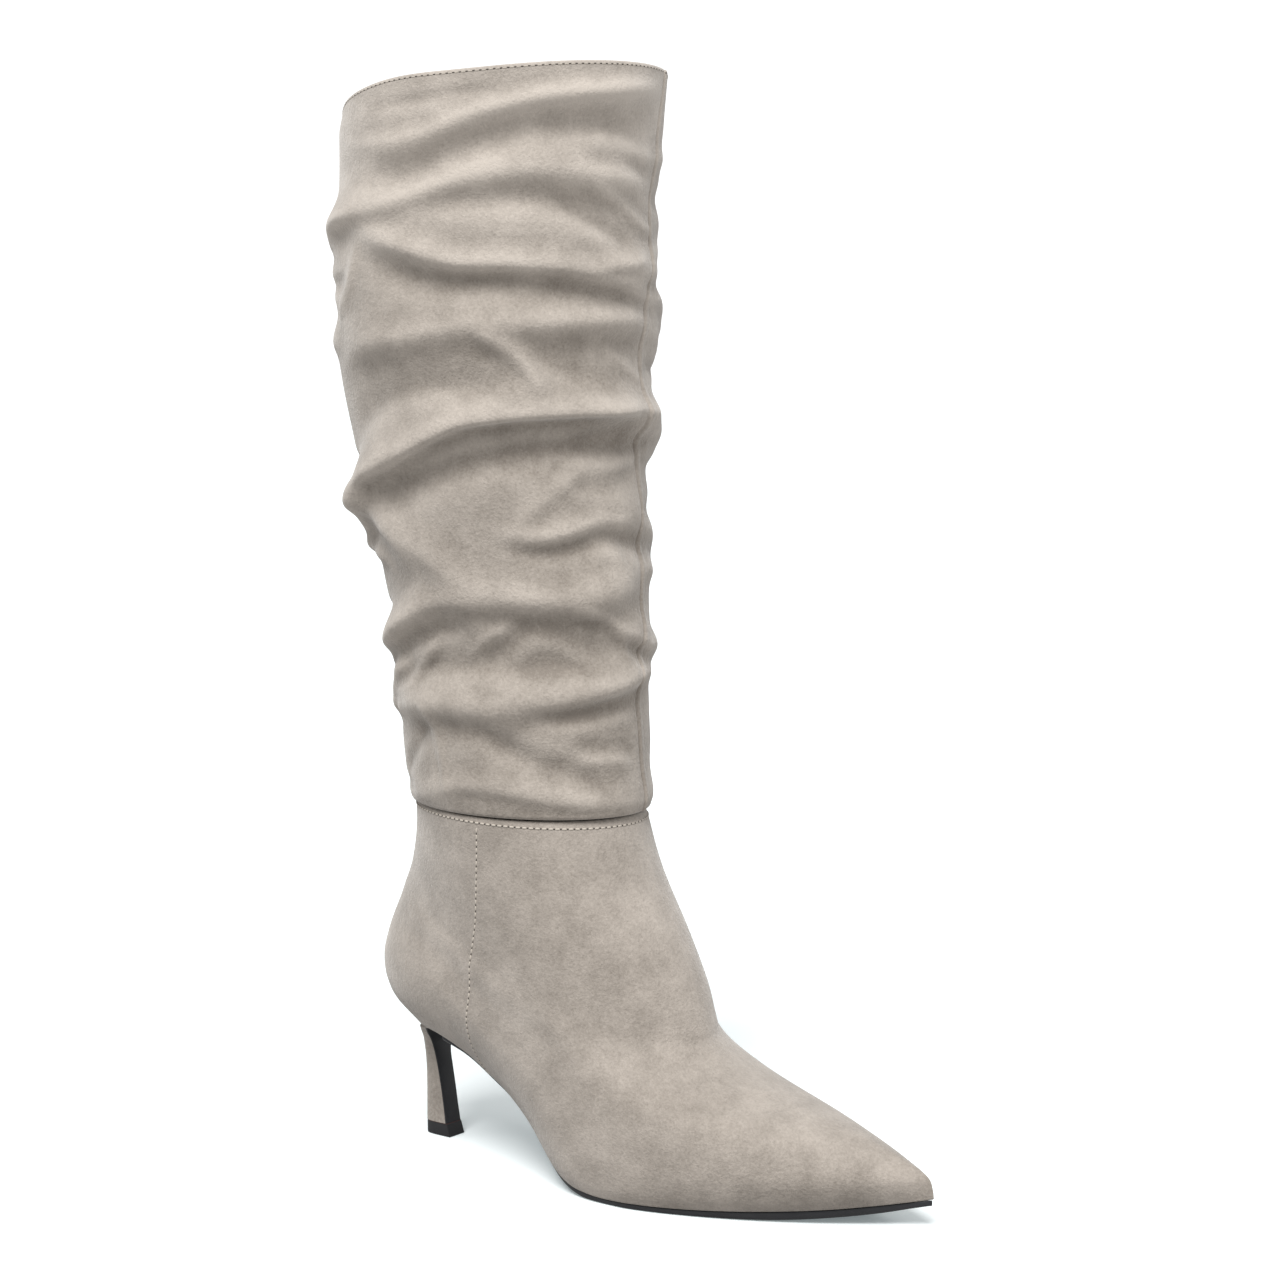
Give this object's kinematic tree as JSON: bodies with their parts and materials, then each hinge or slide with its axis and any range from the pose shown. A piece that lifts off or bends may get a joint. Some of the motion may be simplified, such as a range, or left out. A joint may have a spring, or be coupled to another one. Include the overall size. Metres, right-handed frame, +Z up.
{
  "type": "tall slouch boot",
  "caption": "Tall slouch boot with a pointed toe, ruched shaft, seam at the ankle and a slim sculpted heel with a dark sole; right foot.",
  "frame": {"origin": "centre of the heel tip's underside, on the floor", "axes": "+X forward to the toe, +Y to the inner side of the foot, +Z up from the floor to the collar"},
  "size_m": [0.2661, 0.1284, 0.435],
  "materials": {
    "suede": "matte napped faux suede, greige",
    "sole": "black, slightly glossy edge",
    "lining": "smooth matte lining",
    "heel_tip": "hard black tip, satin"
  },
  "bodies": {
    "root": {"upper": "suede", "shaft": "suede", "outsole": "sole", "insole": "lining", "heel": "suede", "breast_cover": "sole", "top_piece": "heel_tip"}
  },
  "joints": []
}
